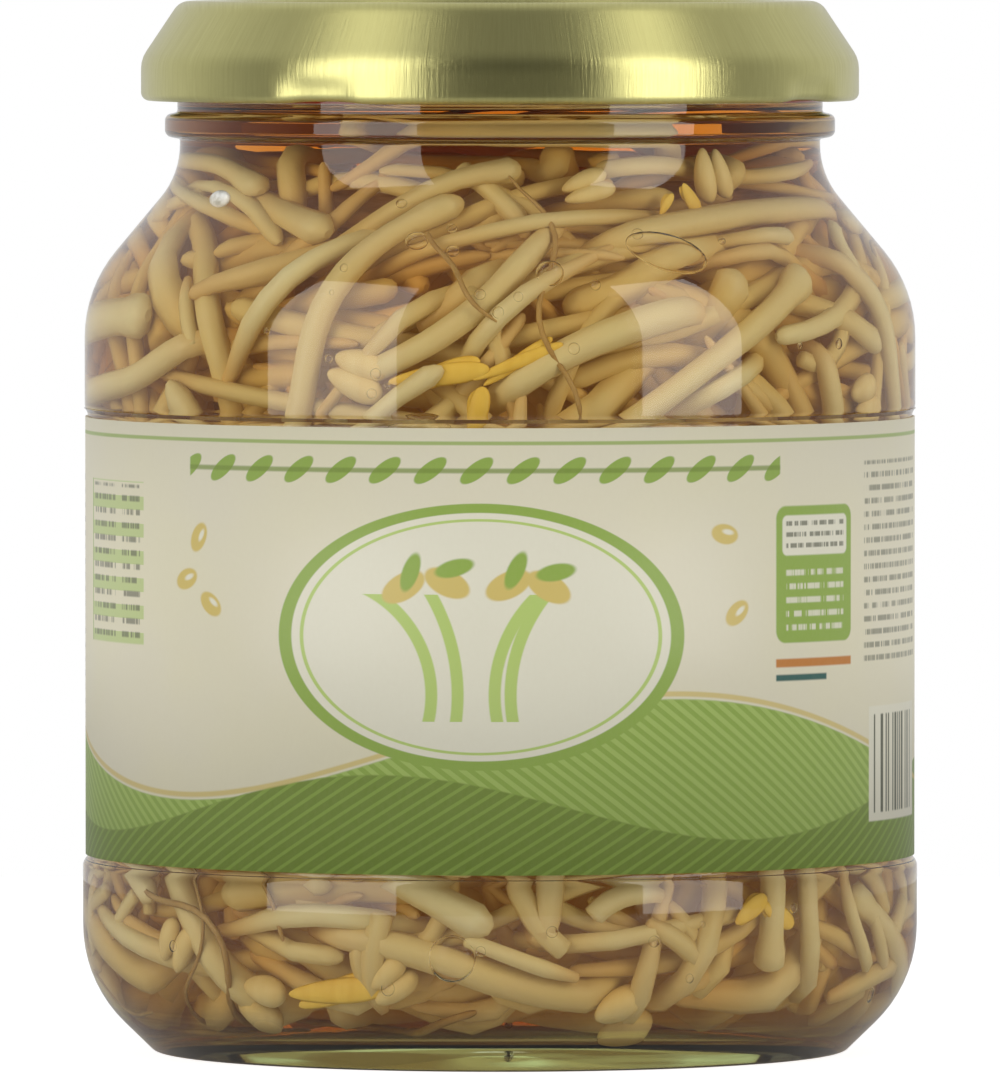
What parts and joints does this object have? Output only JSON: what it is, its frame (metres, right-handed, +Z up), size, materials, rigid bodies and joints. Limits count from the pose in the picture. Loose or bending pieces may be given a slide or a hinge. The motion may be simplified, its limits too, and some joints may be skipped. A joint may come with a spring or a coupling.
{
  "type": "jar of bean sprouts",
  "caption": "Twist-off glass jar filled with pale bean sprouts in brine, with a wrap-round paper label and a gold lacquered lug lid.",
  "frame": {"origin": "middle of the foot, on the surface that the jar stands on", "axes": "+Z up along the jar's axis, -Y out of the front of the label, +X to the right of it"},
  "size_m": [0.0804, 0.0805, 0.1012],
  "materials": {
    "clear_glass": "clear moulded glass, faint green tint",
    "gold_lacquered_tinplate": "satin greenish gold lacquer on brushed tinplate",
    "seal_compound": "smooth soft compound",
    "label_paper": "coated paper, printed",
    "brine": "clear amber liquid",
    "sprout_flesh": "pale, wet and slightly see-through"
  },
  "bodies": {
    "jar": {"jar_glass": "clear_glass", "brine": "brine", "sprouts": "sprout_flesh", "label": "label_paper"},
    "seal": {"lid_seal": "seal_compound"},
    "lid": {"lid": "gold_lacquered_tinplate"}
  },
  "joints": [
    {"name": "lid_rise", "type": "slide", "parent": "jar", "child": "seal", "axis": [0, 0, 1], "range_m": [0, 0.00225]},
    {"name": "lid_turn", "type": "hinge", "parent": "seal", "child": "lid", "pos_m": [0, 0, 0.1], "axis": [0, 0, 1], "range_deg": [0, 74]}
  ],
  "couplings": [
    {"joint": "lid_rise", "follows": "lid_turn", "m_per_rad": 0.0017189}
  ]
}
